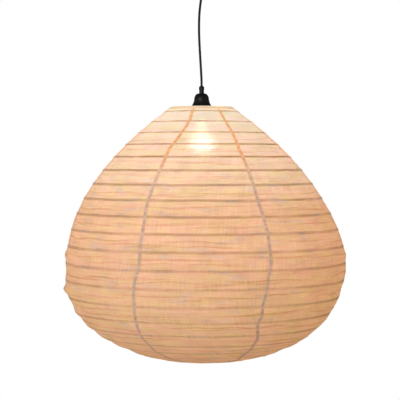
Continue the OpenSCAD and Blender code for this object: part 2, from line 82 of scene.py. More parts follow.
class Graph:
    """One material's node tree, with a Principled shader at its end."""

    def __init__(self, name: str) -> None:
        """Start an empty tree.

        Args:
            name: the material's name.
        """
        self.material = bpy.data.materials.new(name)
        self.material.use_nodes = True
        self.tree = self.material.node_tree
        self.tree.nodes.clear()
        self.shader = self.add("ShaderNodeBsdfPrincipled")
        out = self.add("ShaderNodeOutputMaterial")
        self.tree.links.new(self.shader.outputs[0], out.inputs["Surface"])

    def add(self, kind: str, **settings: object) -> bpy.types.Node:
        """Add a node.

        Args:
            kind: the node's type.
            settings: properties to set on it.

        Returns:
            The node.
        """
        node = self.tree.nodes.new(kind)
        for key, value in settings.items():
            setattr(node, key, value)
        return node

    def put(self, value: object, socket: Socket) -> None:
        """Link a socket, or set its constant.

        Args:
            value: an output socket, a number or a colour.
            socket: the input that gets it.
        """
        if isinstance(value, bpy.types.NodeSocket):
            self.tree.links.new(value, socket)
        elif isinstance(value, (tuple, list)) and socket.type == "RGBA":
            socket.default_value = (*value[:3], 1.0)
        else:
            socket.default_value = value

    def set(self, **inputs: object) -> None:
        """Set the shader's inputs, named with underscores for spaces."""
        for name, value in inputs.items():
            self.put(value, self.shader.inputs[name.replace("_", " ")])

    def place(self, source: Source, scale: Sequence[float] = (1, 1, 1)) -> Socket:
        """Coordinates for a pattern.

        Args:
            source: object coordinates or the piece's own UV map.
            scale: factor along each axis.

        Returns:
            A vector socket.
        """
        at = self.add("ShaderNodeTexCoord").outputs[source.value]
        mapping = self.add("ShaderNodeMapping")
        mapping.inputs["Scale"].default_value = scale
        self.tree.links.new(at, mapping.inputs["Vector"])
        return mapping.outputs[0]

    def noise(self, at: Socket, scale: float, detail: float = 2.0, rough: float = 0.5) -> Socket:
        """Noise from 0 to 1.

        Args:
            at: coordinates.
            scale: repeats per unit.
            detail: octaves.
            rough: weight of the fine octaves.

        Returns:
            A value socket.
        """
        node = self.add("ShaderNodeTexNoise")
        for name, value in (("Vector", at), ("Scale", scale), ("Detail", detail), ("Roughness", rough)):
            self.put(value, node.inputs[name])
        return node.outputs["Fac"]

    def maths(self, operation: str, a: object, b: object = 0.0, c: object = 0.0) -> Socket:
        """One Math node.

        Args:
            operation: its operation.
            a: first value.
            b: second value.
            c: third value.

        Returns:
            A value socket.
        """
        node = self.add("ShaderNodeMath", operation=operation)
        for value, socket in zip((a, b, c), node.inputs):
            self.put(value, socket)
        return node.outputs[0]

    def span(self, value: Socket, low: float, high: float, to_low: float = 0.0,
             to_high: float = 1.0) -> Socket:
        """A smooth step from one value to another.

        Args:
            value: what is read.
            low: where the step starts.
            high: where it ends.
            to_low: result at low.
            to_high: result at high.

        Returns:
            A value socket.
        """
        node = self.add("ShaderNodeMapRange", interpolation_type="SMOOTHSTEP")
        for name, given in (("Value", value), ("From Min", low), ("From Max", high),
                            ("To Min", to_low), ("To Max", to_high)):
            self.put(given, node.inputs[name])
        return node.outputs["Result"]

    def ramp(self, factor: Socket, stops: Sequence[tuple[float, Colour]]) -> Socket:
        """Colours along a factor.

        Args:
            factor: from 0 to 1.
            stops: (place, colour) pairs.

        Returns:
            A colour socket.
        """
        node = self.add("ShaderNodeValToRGB")
        elements = node.color_ramp.elements
        while len(elements) < len(stops):
            elements.new(0.5)
        for element, (place, colour) in zip(elements, stops):
            element.position = place
            element.color = (*colour, 1.0)
        self.tree.links.new(factor, node.inputs["Fac"])
        return node.outputs["Color"]

    def mix(self, factor: object, a: object, b: object, mode: str = "MIX") -> Socket:
        """Mix two colours.

        Args:
            factor: share of the second.
            a: first colour.
            b: second colour.
            mode: blend mode.

        Returns:
            A colour socket.
        """
        node = self.add("ShaderNodeMix", data_type="RGBA", blend_type=mode)
        for value, key in ((factor, 0), (a, 6), (b, 7)):
            self.put(value, node.inputs[key])
        return node.outputs[2]

    def attribute(self, name: str) -> Socket:
        """The value of a piece's own attribute."""
        return self.add("ShaderNodeAttribute", attribute_name=name).outputs["Fac"]

    def bump(self, height: Socket, strength: float, distance: float) -> None:
        """Raise the shader's normal by a height.

        Args:
            height: the height's value.
            strength: share of the full effect.
            distance: metres for a height of 1.
        """
        node = self.add("ShaderNodeBump")
        node.inputs["Strength"].default_value = strength
        node.inputs["Distance"].default_value = distance
        self.tree.links.new(height, node.inputs["Height"])
        self.tree.links.new(node.outputs[0], self.shader.inputs["Normal"])


@dataclass(frozen=True)
class SolidFinish:
    """A hard finish whose colour, gloss and surface vary a little from place to place."""

    name: str
    colour: Colour
    variation: Colour
    roughness: tuple[float, float]
    metallic: float = 0.0
    grain: tuple[float, float, float] = (1, 1, 1)
    grain_scale: float = 400.0
    grain_depth: float = 0.05
    coat: float = 0.0

    def build(self) -> bpy.types.Material:
        """Make the material.

        Returns:
            The finish as a material.
        """
        g = Graph(self.name)
        cloudy = g.noise(g.place(Source.OBJECT), 35.0, 4.0, 0.6)
        fine = g.noise(g.place(Source.OBJECT, self.grain), self.grain_scale, 3.0, 0.55)
        both = g.maths("MULTIPLY_ADD", fine, 0.5, g.maths("MULTIPLY", cloudy, 0.5))
        g.set(Base_Color=g.ramp(both, [(0.3, self.colour), (0.7, self.variation)]),
              Roughness=g.span(cloudy, 0.3, 0.7, *self.roughness), Metallic=self.metallic,
              Coat_Weight=self.coat, Coat_Roughness=0.12)
        g.bump(fine, 0.35, self.grain_depth * MM)
        return g.material


@dataclass(frozen=True)
class BulbFinish:
    """Frosted glass round hot filaments, its own glow brightest a little below the globe's middle."""

    name: str = "lit_frosted_glass"
    brightest_z: float = -0.450
    reach: float = 0.058
    mottle_depth: float = 0.006
    strength: float = 2.4
    see_through: float = 0.8
    glow: tuple[tuple[float, Colour], ...] = (
        (0.0, (0.88, 0.94, 1.0)), (0.35, (0.84, 0.88, 0.92)), (0.6, (0.25, 0.23, 0.2)),
        (1.0, (0.06, 0.05, 0.04)))

    def build(self) -> bpy.types.Material:
        """Make the material.

        Returns:
            The finish as a material.
        """
        g = Graph(self.name)
        at = g.add("ShaderNodeSeparateXYZ")
        g.put(g.place(Source.OBJECT), at.inputs[0])
        away = g.maths("ABSOLUTE", g.maths("SUBTRACT", at.outputs["Z"], self.brightest_z))
        mottle = g.noise(g.place(Source.OBJECT), 60.0, 3.0)
        fading = g.span(g.maths("MULTIPLY_ADD", mottle, self.mottle_depth, away), 0.0, self.reach)
        g.set(Base_Color=g.ramp(mottle, [(0.3, (0.9, 0.86, 0.78)), (0.7, (0.96, 0.93, 0.87))]),
              Roughness=0.3, IOR=1.1, Transmission_Weight=self.see_through,
              Emission_Color=g.ramp(fading, self.glow), Emission_Strength=self.strength)
        return g.material


@dataclass(frozen=True)
class FilamentFinish:
    """Hot light sticks on a glass stem."""

    name: str = "lit_filament"
    strength: float = 190.0

    def build(self) -> bpy.types.Material:
        """Make the material.

        Returns:
            The finish as a material.
        """
        g = Graph(self.name)
        beads = g.noise(g.place(Source.OBJECT, (1, 1, 3)), 500.0, 1.0)
        g.set(Base_Color=g.ramp(beads, [(0.35, (0.95, 0.7, 0.2)), (0.65, (1.0, 0.85, 0.4))]), Roughness=0.4,
              Emission_Color=g.ramp(beads, [(0.35, (0.9, 0.9, 0.85)), (0.65, (0.95, 0.97, 1.0))]),
              Emission_Strength=self.strength)
        return g.material


@dataclass(frozen=True)
class ClothFinish:
    """Thin slubbed plain weave, its light from the bulb inside painted as emission, with a painted shadow of
    a wire along each hoop.

    The piece's UV map holds metres: along the weft, and along the warp from the rim. Its attributes are
    glow, from 0 to 1, the strength of the painted glow; crease, from 0 to 1, the painted shade in the
    creases; and layers, from 0 to 1 where the cloth is doubled, painted darker there as shade.
    """

    name: str
    first_hoop: float
    hoop_pitch: float
    hoop_lines: bool = True
    upper_tint: Colour = (1.0, 1.0, 1.0)
    lower_tint: Colour = (1.0, 1.0, 1.0)
    upper_shadow: Colour = (0.50, 0.36, 0.21)
    lower_shadow: Colour = (0.60, 0.56, 0.49)
    # colour of the painted shade in the creases
    crease_shade_tint: Colour = (0.72, 0.60, 0.47)
    dye: Colour = (0.66, 0.55, 0.43)
    # how much darker doubled cloth is painted, as shade
    doubled_shade: float = 0.60
    through: float = 0.1
    bending: float = 1.06
    strength: float = 1.0
    light: tuple[tuple[float, Colour], ...] = (
        (0.0, (0.32, 0.125, 0.03)), (0.08, (0.42, 0.205, 0.08)), (0.18, (0.50, 0.26, 0.10)),
        (0.27, (0.54, 0.265, 0.115)), (0.38, (0.62, 0.325, 0.16)), (0.48, (0.62, 0.33, 0.155)),
        (0.64, (0.72, 0.47, 0.28)), (0.80, (0.76, 0.53, 0.36)), (0.97, (0.76, 0.66, 0.50)))

    def line_along_hoops(self, g: Graph, weft: Socket, warp: Socket) -> Socket:
        """How far each point lies in the shadow of a hoop and its stitches.

        Args:
            g: the graph.
            weft: metres across.
            warp: metres from the rim.

        Returns:
            A value socket, 1 in the full shadow.
        """
        sway = g.noise(g.place(Source.UV, (14, 20, 1)), 1.0, 3.0, 0.6)
        lower = g.span(warp, 0.13, 0.24)
        off = g.maths("MULTIPLY", g.maths("SUBTRACT", sway, 0.5),
                      g.maths("MULTIPLY_ADD", lower, 0.0045, 0.0012))
        below_first = g.maths("SUBTRACT", g.maths("ADD", warp, off), self.first_hoop)
        row = g.maths("DIVIDE", below_first, self.hoop_pitch)
        away = g.maths("MULTIPLY", g.maths("SUBTRACT", g.maths("FRACT", g.maths("ADD", row, 0.5)), 0.5),
                       self.hoop_pitch)
        near = g.maths("ABSOLUTE", away)
        wide = g.maths("MULTIPLY_ADD", lower, 0.38, 1.0)
        wire = g.span(g.maths("DIVIDE", near, wide), 0.0010, 0.0033, 1.0, 0.0)
        tooth = g.maths("PINGPONG", weft, 0.0030)
        stitch_at = g.maths("ABSOLUTE", g.maths("SUBTRACT", near, g.maths("MULTIPLY", tooth, 1.3)))
        stitch = g.maths("MULTIPLY", g.span(stitch_at, 0.0004, 0.0014, 0.9, 0.0),
                         g.span(near, 0.0040, 0.0046, 1.0, 0.0))
        channel = g.maths("MULTIPLY", g.span(near, 0.0022, 0.0056, 0.5, 0.0), lower)
        patchy = g.span(g.noise(g.place(Source.UV, (9, 2, 1)), 1.0, 2.0), 0.3, 0.62, 0.5, 1.0)
        faint = g.span(warp, 0.26, 0.55, 1.0, 0.56)
        total = g.maths("MAXIMUM", wire, g.maths("MAXIMUM", channel, g.maths("MULTIPLY", stitch, lower)))
        return g.maths("MULTIPLY", total, g.maths("MULTIPLY", patchy, faint))

    def build(self) -> bpy.types.Material:
        """Make the material.

        Returns:
            The finish as a material.
        """
        g = Graph(self.name)
        at = g.add("ShaderNodeSeparateXYZ")
        g.put(g.add("ShaderNodeTexCoord").outputs["UV"], at.inputs[0])
        weft, warp = at.outputs["X"], at.outputs["Y"]
        threads = g.noise(g.place(Source.UV, (45, 800, 1)), 1.0, 3.0, 0.6)
        ends = g.noise(g.place(Source.UV, (420, 22, 1)), 1.0, 3.0, 0.6)
        slubs = g.noise(g.place(Source.UV, (12, 260, 1)), 1.0, 2.0, 0.7)
        clouds = g.noise(g.place(Source.UV, (16, 24, 1)), 1.0, 3.0, 0.6)
        patches = g.noise(g.place(Source.UV, (13, 42, 3)), 1.0, 2.0, 0.6)
        cool = g.noise(g.place(Source.UV, (17, 60, 9)), 1.0, 1.0, 0.5)
        flecks = g.noise(g.place(Source.UV, (210, 260, 1)), 1.0, 1.0)
        specks = g.span(flecks, 0.74, 0.79, 0.0, 0.6)
        weave = g.maths("ADD", g.maths("MULTIPLY", threads, 0.36),
                        g.maths("ADD", g.maths("MULTIPLY", ends, 0.34), g.maths("MULTIPLY", slubs, 0.30)))
        tone = g.span(weave, 0.32, 0.68, 0.76, 1.17)
        tone = g.maths("MULTIPLY", tone, g.span(clouds, 0.30, 0.72, 0.94, 1.05))
        tone = g.maths("MULTIPLY", tone, g.maths("SUBTRACT", 1.0, specks))
        low = g.span(warp, 0.15, 0.30)
        shadow = g.mix(low, self.upper_shadow, self.lower_shadow)
        look = g.mix(g.span(patches, 0.36, 0.66), (1.04, 0.96, 1.04), (0.98, 1.01, 0.91))
        look = g.mix(g.maths("MULTIPLY", g.span(cool, 0.55, 0.72), low), look, (0.88, 0.95, 1.12))
        # painted shade: the cloth is darkened along its creases
        look = g.mix(g.attribute("crease"), look, self.crease_shade_tint, "MULTIPLY")
        # painted shade: less of the bulb's light comes through where the cloth is doubled
        look = g.mix(g.maths("MULTIPLY", g.attribute("layers"), self.doubled_shade), look, shadow, "MULTIPLY")
        if self.hoop_lines:
            look = g.mix(self.line_along_hoops(g, weft, warp), look, shadow, "MULTIPLY")
        tint = g.mix(low, self.upper_tint, self.lower_tint)
        grey = g.add("ShaderNodeCombineColor")
        for socket in grey.inputs[:3]:
            g.put(tone, socket)
        look = g.mix(1.0, g.mix(1.0, look, tint, "MULTIPLY"), grey.outputs[0], "MULTIPLY")
        # painted light: the bulb's glow through the cloth is emission, brighter nearer the bulb
        lit = g.ramp(g.attribute("glow"), list(self.light))
        g.set(Base_Color=g.mix(1.0, self.dye, look, "MULTIPLY"), Roughness=1.0, IOR=self.bending,
              Specular_IOR_Level=0.1, Sheen_Weight=0.05, Transmission_Weight=self.through,
              Emission_Color=g.mix(1.0, lit, look, "MULTIPLY"), Emission_Strength=self.strength)
        raised = g.maths("ADD", g.maths("MULTIPLY", threads, 0.5), g.maths("MULTIPLY", ends, 0.5))
        g.bump(raised, 0.5, 0.25 * MM)
        return g.material


# --- Mesh helpers --------------------------------------------------------------------------


def new_piece(name: str, vertices: np.ndarray, faces: list[tuple[int, ...]]) -> bpy.types.Object:
    """Make an object from points and faces.

    Args:
        name: the object's name.
        vertices: points, one row each, in metres.
        faces: indices of each face's points.

    Returns:
        The object, at the origin and shaded smooth.
    """
    mesh = bpy.data.meshes.new(name)
    mesh.from_pydata([tuple(p) for p in vertices], [], faces)
    mesh.update()
    mesh.polygons.foreach_set("use_smooth", [True] * len(mesh.polygons))
    piece = bpy.data.objects.new(name, mesh)
    bpy.context.scene.collection.objects.link(piece)
    return piece


def grid_faces(rows: int, columns: int, closed_rows: bool = False,
               closed_columns: bool = False) -> list[tuple[int, ...]]:
    """Faces of a grid of points, counted row by row.

    Args:
        rows: number of rows.
        columns: number of points in a row.
        closed_rows: the last row joins the first.
        closed_columns: the last column joins the first.

    Returns:
        The faces.
    """
    faces = []
    for i in range(rows if closed_rows else rows - 1):
        for j in range(columns if closed_columns else columns - 1):
            a, b = i * columns + j, i * columns + (j + 1) % columns
            c, d = ((i + 1) % rows) * columns + (j + 1) % columns, ((i + 1) % rows) * columns + j
            faces.append((a, b, c, d))
    return faces


def set_attribute(piece: bpy.types.Object, name: str, values: np.ndarray) -> None:
    """Store a number per point on a piece."""
    attribute = piece.data.attributes.new(name, "FLOAT", "POINT")
    attribute.data.foreach_set("value", np.asarray(values, np.float32).ravel())


def set_uv(piece: bpy.types.Object, u: np.ndarray, v: np.ndarray) -> None:
    """Store a UV map, in metres, given per point."""
    layer = piece.data.uv_layers.new(name="metres")
    index = np.zeros(len(piece.data.loops), np.int32)
    piece.data.loops.foreach_get("vertex_index", index)
    pairs = np.stack([np.ravel(u)[index], np.ravel(v)[index]], 1)
    layer.data.foreach_set("uv", pairs.astype(np.float32).ravel())


def dress(piece: bpy.types.Object, material: bpy.types.Material) -> None:
    """Give a new piece its material."""
    piece.data.materials.clear()
    piece.data.materials.append(material)


def dress_nodes(finish: bpy.types.Material, names: Iterable[str]) -> None:
    """Give CAD nodes a material."""
    for name in names:
        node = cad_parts[name]
        for slot in node.material_slots:
            slot.material = finish


def spline_through(points: Sequence[Sequence[float]], per: int) -> np.ndarray:
    """A smooth line through points.

    Args:
        points: the points.
        per: steps between two points.

    Returns:
        The line's points.
    """
    p = np.asarray(points, float)
    out = []
    for i in range(len(p) - 1):
        a, b, c, d = p[max(i - 1, 0)], p[i], p[i + 1], p[min(i + 2, len(p) - 1)]
        for t in np.arange(per) / per:
            out.append(0.5 * (2 * b + (c - a) * t + (2 * a - 5 * b + 4 * c - d) * t**2
                              + (3 * b - a - 3 * c + d) * t**3))
    return np.array(out + [p[-1]])


def tube_along(name: str, line: np.ndarray, radius: np.ndarray, sides: int) -> bpy.types.Object:
    """A closed round tube along a line.

    Args:
        name: the piece's name.
        line: the centreline's points.
        radius: the radius at each point.
        sides: sides of the tube.

    Returns:
        The piece, with a UV map in metres along and round.
    """
    ways = np.gradient(line, axis=0)
    ways /= np.linalg.norm(ways, axis=1)[:, None]
    side = np.cross(ways[0], (0.3, 0.9, 0.2))
    rings = []
    for at, way, r in zip(line, ways, radius):
        side = side - way * side.dot(way)
        side /= np.linalg.norm(side)
        other = np.cross(way, side)
        turn = np.arange(sides) * 2 * math.pi / sides
        rings.append(at + r * (np.cos(turn)[:, None] * side + np.sin(turn)[:, None] * other))
    count = len(line)
    faces = grid_faces(count, sides, closed_columns=True)
    faces.append(tuple(reversed(range(sides))))
    faces.append(tuple(range((count - 1) * sides, count * sides)))
    piece = new_piece(name, np.concatenate(rings), faces)
    run = np.concatenate([[0], np.cumsum(np.linalg.norm(np.diff(line, axis=0), axis=1))])
    round_way = np.arange(sides) / sides * 2 * math.pi * float(np.mean(radius))
    set_uv(piece, np.tile(round_way, count), np.repeat(run, sides))
    return piece


def only(piece: bpy.types.Object) -> None:
    """Select one object alone and make it active."""
    bpy.ops.object.select_all(action="DESELECT")
    piece.select_set(True)
    bpy.context.view_layer.objects.active = piece


# --- Studio --------------------------------------------------------------------------------


@dataclass
class Studio:
    """Camera, lights, pale floor and white surroundings."""

    eye: Vector = field(default_factory=lambda: Vector((-0.004, -3.76, -0.478)))
    pitch_deg: float = -1.53
    lens_mm: float = 135.0
    floor_z: float = -2.6
    floor_half: float = 9.0
    floor_glow: float = 0.6
    room_glow: float = 0.08
    aim: tuple[float, float, float] = (0.0, 0.0, -0.65)

    def place_camera(self) -> None:
        """Put the camera in front, a little below the rim."""
        camera = bpy.data.objects.new("camera", bpy.data.cameras.new("camera"))
        camera.data.lens = self.lens_mm
        camera.data.sensor_width = 36.0
        camera.data.clip_end = 60.0
        camera.location = self.eye
        camera.rotation_euler = (math.radians(90 + self.pitch_deg), 0, 0)
        bpy.context.scene.collection.objects.link(camera)
        bpy.context.scene.camera = camera

    def add_light(self, name: str, at: Sequence[float], size: float, power: float) -> None:
        """Add one soft white light that faces the shade.

        Args:
            name: its name.
            at: its place.
            size: its diameter.
            power: watts.
        """
        lamp = bpy.data.lights.new(name, "AREA")
        lamp.shape, lamp.size, lamp.energy = "DISK", size, power
        light = bpy.data.objects.new(name, lamp)
        light.location = at
        light.rotation_euler = (Vector(self.aim) - Vector(at)).to_track_quat("-Z", "Y").to_euler()
        bpy.context.scene.collection.objects.link(light)

    def light(self) -> None:
        """Light the scene softly, mostly from the front."""
        self.add_light("front_softbox", at=(-1.3, -3.2, -0.2), size=1.6, power=36.0)
        self.add_light("left_softbox", at=(-3.0, -1.2, -0.1), size=1.4, power=3.0)
        self.add_light("right_softbox", at=(3.0, -1.0, 0.3), size=1.4, power=2.0)
        self.add_light("back_softbox", at=(0.6, 3.2, 0.4), size=1.6, power=8.0)
        world = bpy.data.worlds.new("white_room")
        bpy.context.scene.world = world
        world.use_nodes = True
        tree = world.node_tree
        tree.nodes.clear()
        seen, lit = tree.nodes.new("ShaderNodeBackground"), tree.nodes.new("ShaderNodeBackground")
        for shader, strength in ((seen, 1.0), (lit, self.room_glow)):
            shader.inputs["Color"].default_value = (1.0, 1.0, 1.0, 1.0)
            shader.inputs["Strength"].default_value = strength
        choice, path = tree.nodes.new("ShaderNodeMixShader"), tree.nodes.new("ShaderNodeLightPath")
        out = tree.nodes.new("ShaderNodeOutputWorld")
        tree.links.new(path.outputs["Is Camera Ray"], choice.inputs[0])
        tree.links.new(lit.outputs[0], choice.inputs[1])
        tree.links.new(seen.outputs[0], choice.inputs[2])
        tree.links.new(choice.outputs[0], out.inputs["Surface"])
        bpy.context.scene.view_settings.view_transform = "Standard"

    def lay_floor(self) -> None:
        """Lay the pale floor far below."""
        bpy.ops.object.select_all(action="DESELECT")
        bpy.ops.mesh.primitive_plane_add(size=2 * self.floor_half, location=(0, 0, self.floor_z))
        floor = bpy.context.active_object
        floor.name = "floor"
        bpy.ops.object.transform_apply(location=True, rotation=True, scale=True)
        g = Graph("pale_floor")
        soft = g.noise(g.place(Source.OBJECT), 1.3, 3.0)
        seen = g.add("ShaderNodeLightPath").outputs["Is Camera Ray"]
        g.set(Base_Color=g.ramp(soft, [(0.3, (0.86, 0.86, 0.855)), (0.7, (0.88, 0.88, 0.875))]),
              Roughness=0.9, Emission_Color=(1.0, 1.0, 1.0),
              Emission_Strength=g.maths("MULTIPLY", seen, self.floor_glow))
        floor.data.materials.append(g.material)


# --- Shade ---------------------------------------------------------------------------------


@dataclass
class ShadeOutline:
    """The skin's outline: two curves from the rim over the widest place to the mouth."""

    rim_z: float = -345.0
    widest_d: float = 700.0
    height: float = 634.0
    widest_depth: float = 402.0
    rim_d: float = 150.0
    mouth_d: float = 120.0
    shoulder_lean: float = 55.4
    shoulder_run: float = 0.45
    upper_fullness: float = 0.315
    lower_fullness: float = 0.9
    mouth_flatness: float = 0.095
    first_gap: float = 22.0
    hoops: int = 21
    curve_points: int = 161
    slope_reach: float = 4.0

    def __post_init__(self) -> None:
        """Work out the outline's points and their ways along it."""
        rim = np.array((self.rim_d / 2, 0.0))
        widest = np.array((self.widest_d / 2, -self.widest_depth))
        mouth = np.array((self.mouth_d / 2, -self.height))
        lean = math.radians(self.shoulder_lean)
        reach = self.shoulder_run * np.linalg.norm(widest - rim)
        upper = (rim, rim + reach * np.array((math.sin(lean), -math.cos(lean))),
                 widest + np.array((0, self.upper_fullness * self.widest_depth)), widest)
        lower = (widest, widest - np.array((0, self.lower_fullness * (self.height - self.widest_depth))),
                 mouth + np.array((self.mouth_flatness * (self.widest_d - self.mouth_d) / 2, 0)), mouth)
        t = np.linspace(0, 1, self.curve_points)[:, None]
        bend = [(1 - t) ** 3 * p[0] + 3 * (1 - t) ** 2 * t * p[1] + 3 * (1 - t) * t**2 * p[2] + t**3 * p[3]
                for p in (upper, lower)]
        self.points = np.concatenate([bend[0], bend[1][1:]])
        self.ways = np.concatenate([[0], np.cumsum(np.linalg.norm(np.diff(self.points, axis=0), axis=1))])
        self.length = float(self.ways[-1])
        self.pitch = (self.length - self.first_gap) / self.hoops

    def at(self, way: np.ndarray) -> tuple[np.ndarray, np.ndarray]:
        """Radius and height above the rim at a way along the skin, in millimetres."""
        return np.interp(way, self.ways, self.points[:, 0]), np.interp(way, self.ways, self.points[:, 1])

    def outward(self, way: np.ndarray) -> tuple[np.ndarray, np.ndarray]:
        """The outward direction at a way, as its radial and upward parts."""
        r0, z0 = self.at(np.asarray(way, float) - self.slope_reach)
        r1, z1 = self.at(np.asarray(way, float) + self.slope_reach)
        size = np.hypot(r1 - r0, z1 - z0)
        return -(z1 - z0) / size, (r1 - r0) / size

    def hoop_way(self, number: int) -> float:
        """The way along the skin of a hoop, counted from 1."""
        return self.first_gap + (number - 1) * self.pitch


@dataclass
class Skin:
    """The cloth's shape all round: the outline, with puffs, creases and seams, in millimetres."""

    outline: ShadeOutline = field(default_factory=ShadeOutline)
    gores: int = 7
    creases_per_bay: int = 12
    long_creases: int = 2
    bulb_z: float = -433.0
    near_bulb: float = 100.0
    far_from_bulb: float = 600.0
    still_edge: float = 14.0
    crease_reach: float = 16.0
    top_clear: float = 8.0
    mouth_clear: float = 6.0
    seed: int = 11
    seam_marks: tuple[float, ...] = (0, 60, 107, 165, 320, 405, 491, 576, 619, 661, 704, 780, 917)
    left_drift: tuple[float, ...] = (11.5, 12, 8.4, 2.9, 0.2, -0.1, -1.0, -3.2, -3.3, -4.2, -5.2, -4, 0)
    right_drift: tuple[float, ...] = (4.2, 1.4, 1.5, 0.2, -0.2, 0.1, -0.7, -2.5, -1.6, -0.6, 0.3, 0.2, 0)
    bags: tuple[tuple[float, ...], ...] = (
        (180, 470, 4.5, 34, 9), (180, 512, -3.0, 34, 13), (180, 556, 7.5, 36, 9), (180, 598, -3.5, 34, 13),
        (180, 640, -3.5, 34, 13), (180, 682, -4.0, 34, 13), (180, 725, -4.5, 34, 13),
        (180, 768, -4.0, 34, 13), (0, 470, 2.0, 30, 9), (0, 555, -3.5, 34, 13), (0, 598, -1.0, 34, 12),
        (0, 768, -2.0, 30, 13), (100, 560, 4.0, 34, 10), (60, 610, 3.5, 34, 11), (250, 585, 2.5, 30, 12),
        (310, 640, 3.0, 24, 10), (215, 560, 3.0, 28, 12), (140, 500, 3.0, 26, 12))

    def __post_init__(self) -> None:
        """Draw the puffs, creases and wandering seams once."""
        draw = np.random.default_rng(self.seed)
        bays = self.outline.hoops + 1
        self.puff_waves = np.array((3, 5, 8, 13, 19, 27))
        self.puff_phase = draw.uniform(0, 2 * math.pi, (bays, len(self.puff_waves)))
        self.puff_size = draw.uniform(0.4, 1.0, (bays, len(self.puff_waves))) / np.sqrt(self.puff_waves)
        short, long = self.creases_per_bay * bays, self.long_creases * self.gores * bays
        self.crease_bay = np.concatenate([np.repeat(np.arange(bays), self.creases_per_bay),
                                          np.repeat(np.arange(bays), self.long_creases * self.gores)])

        def draws(first: tuple[float, float], second: tuple[float, float]) -> np.ndarray:
            """Numbers for the short creases, then for the long ones."""
            return np.concatenate([draw.uniform(*first, short), draw.uniform(*second, long)])

        per_gore = (np.arange(long) % (self.long_creases * self.gores)) / (self.long_creases * self.gores)
        self.crease_at = draws((0.12, 0.88), (0.28, 0.72))
        self.crease_az = draws((0, 2 * math.pi), (-0.25, 0.25))
        self.crease_az[short:] += per_gore * 2 * math.pi
        self.crease_len = draws((40, 150), (130, 260))
        self.crease_slope = np.concatenate([draw.normal(0, 0.035, short), draw.normal(0, 0.012, long)])
        self.crease_sway = draws((0.4, 1.6), (0.6, 2.2))
        self.crease_wave = draws((35, 90), (90, 210))
        self.crease_phase = draws((0, 2 * math.pi), (0, 2 * math.pi))
        self.crease_deep = draws((0.15, 0.8), (0.7, 1.15))
        self.crease_wide = draws((1.3, 2.6), (1.7, 2.4))
        self.seam_phase = draw.uniform(0, 2 * math.pi, (self.gores, 3))

    def sideways(self, way: np.ndarray) -> np.ndarray:
        """How far the hanging belly sits to the right of the cord at a way along the skin."""
        marks = (0, 90, 230, 330, 400, 470, 540, 620, 680, 760, 840, 917)
        shifts = (0.0, 0.5, 2.0, 3.5, 7.5, 11.0, 7.5, 3.0, 5.5, 9.0, 8.5, 0.0)
        return np.interp(way, marks, shifts)

    def seam_angle(self, number: int, way: np.ndarray) -> np.ndarray:
        """Direction of a seam along the skin, in radians.

        Args:
            number: the seam before the gore of that number.
            way: ways along the skin.

        Returns:
            The angles about the upright axis.
        """
        step = 2 * math.pi / self.gores
        base = -math.pi / 2 + (number - 1.5) * step
        if number % self.gores == 1:
            drift = np.interp(way, self.seam_marks, self.left_drift)
        elif number % self.gores == 2:
            drift = np.interp(way, self.seam_marks, self.right_drift)
        else:
            slow, quick, _ = self.seam_phase[number % self.gores]
            drift = 1.7 * np.sin(way / 210 + slow) + 0.8 * np.sin(way / 83 + quick)
        kink = np.sin(way / self.outline.pitch * math.pi + number) * np.sin(way / 61 + 2 * number)
        slack = np.clip((way - 400) / 150, 0, 1)
        radius, _ = self.outline.at(way)
        jog = np.sin(way / 19.0 + 1.7 * number) * np.sin(way / 43.0 + number) ** 2
        return base + np.radians(drift) + (kink * 2.2 + jog * 3.0) * slack / radius

    def puffs(self, az: np.ndarray, way: np.ndarray) -> np.ndarray:
        """Cloth that sinks between the taut upper hoops and bags out between the lower ones."""
        o = self.outline
        row = np.clip((way - o.first_gap) / o.pitch + 1, 0, o.hoops + 0.999)
        bay = np.floor(row).astype(int)
        part = row - bay
        swell = np.zeros_like(way)
        for k, m in enumerate(self.puff_waves):
            swell += self.puff_size[bay, k] * np.sin(m * az + self.puff_phase[bay, k])
        slack = np.interp(way, (0, 200, 360, 500, 640, 800, 917), (0.10, 0.2, 0.45, 1.0, 1.15, 0.8, 0.2))
        taut = np.interp(way, (0, 150, 350, 470, 917), (-1.1, -0.8, -0.3, 0.9, 0.5))
        bag = np.sin(math.pi * part**0.85)
        return bag * (taut + 1.9 * slack * swell)

    def hoop_ridge(self, way: np.ndarray) -> np.ndarray:
        """The cloth's low ridge over each hoop's wire."""
        o = self.outline
        off = (way - o.first_gap + o.pitch / 2) % o.pitch - o.pitch / 2
        return 0.55 * np.exp(-((off / 1.7) ** 2))

